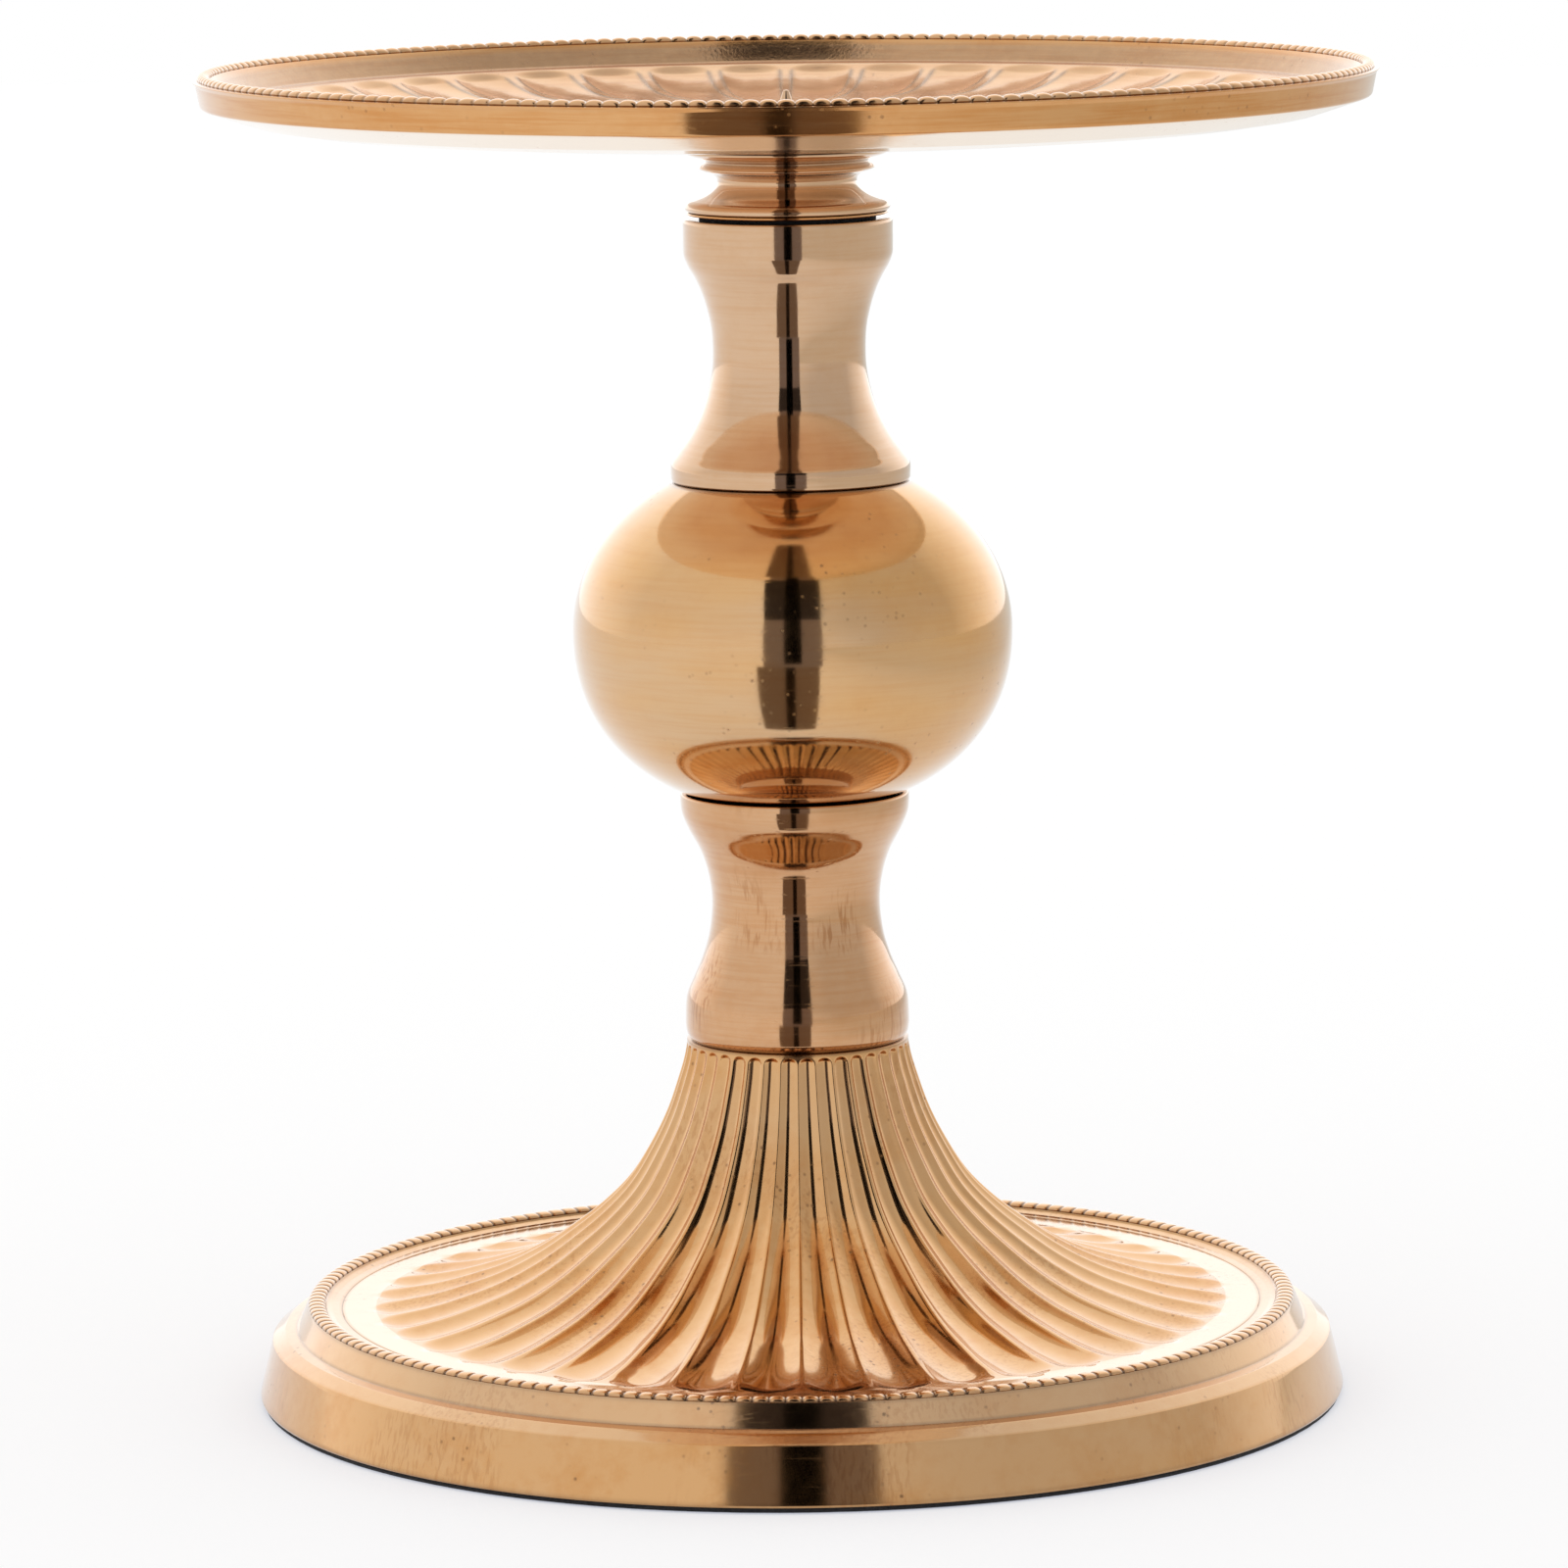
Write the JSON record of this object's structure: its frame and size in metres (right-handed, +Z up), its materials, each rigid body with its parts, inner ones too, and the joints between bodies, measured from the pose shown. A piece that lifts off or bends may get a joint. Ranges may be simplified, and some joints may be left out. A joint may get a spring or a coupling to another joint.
{
  "type": "candle holder",
  "caption": "Free-standing brass pillar candle holder with a fluted bell foot, turned stem, round knop and shallow fluted dish with a beaded rim.",
  "frame": {"origin": "centre of the underside of the felt, on the axis of the stem", "axes": "+Z up the stem, +X to the right and +Y away from someone who faces the front"},
  "size_m": [0.2, 0.2, 0.228],
  "materials": {
    "cast_brass": "polished, lightly tarnished",
    "turned_brass": "polished, fine turning marks",
    "bead_wire": "polished, dark between the beads",
    "plated_steel": "zinc plated",
    "dark_fibre": "matt black fibre",
    "felt": "dark felt",
    "board": "raw fibreboard"
  },
  "bodies": {
    "stand": {"felt_pad": "felt", "backing_disc": "board", "foot": "cast_brass", "foot_bead_ring": "bead_wire", "clamp_washer": "plated_steel", "lock_washer": "plated_steel", "clamp_nut": "plated_steel", "tie_rod": "plated_steel", "lower_stem": "turned_brass", "knop": "cast_brass", "upper_stem": "turned_brass", "stack_nut": "plated_steel", "friction_washer": "dark_fibre", "bearing_washer": "turned_brass", "pricket": "turned_brass"},
    "plate": {"tray": "cast_brass", "tray_bead_ring": "bead_wire", "collar": "turned_brass"}
  },
  "joints": [
    {"name": "plate_turn", "type": "hinge", "parent": "stand", "child": "plate", "pos_m": [0, 0, 0.2138], "axis": [0, 0, 1], "continuous": true}
  ]
}
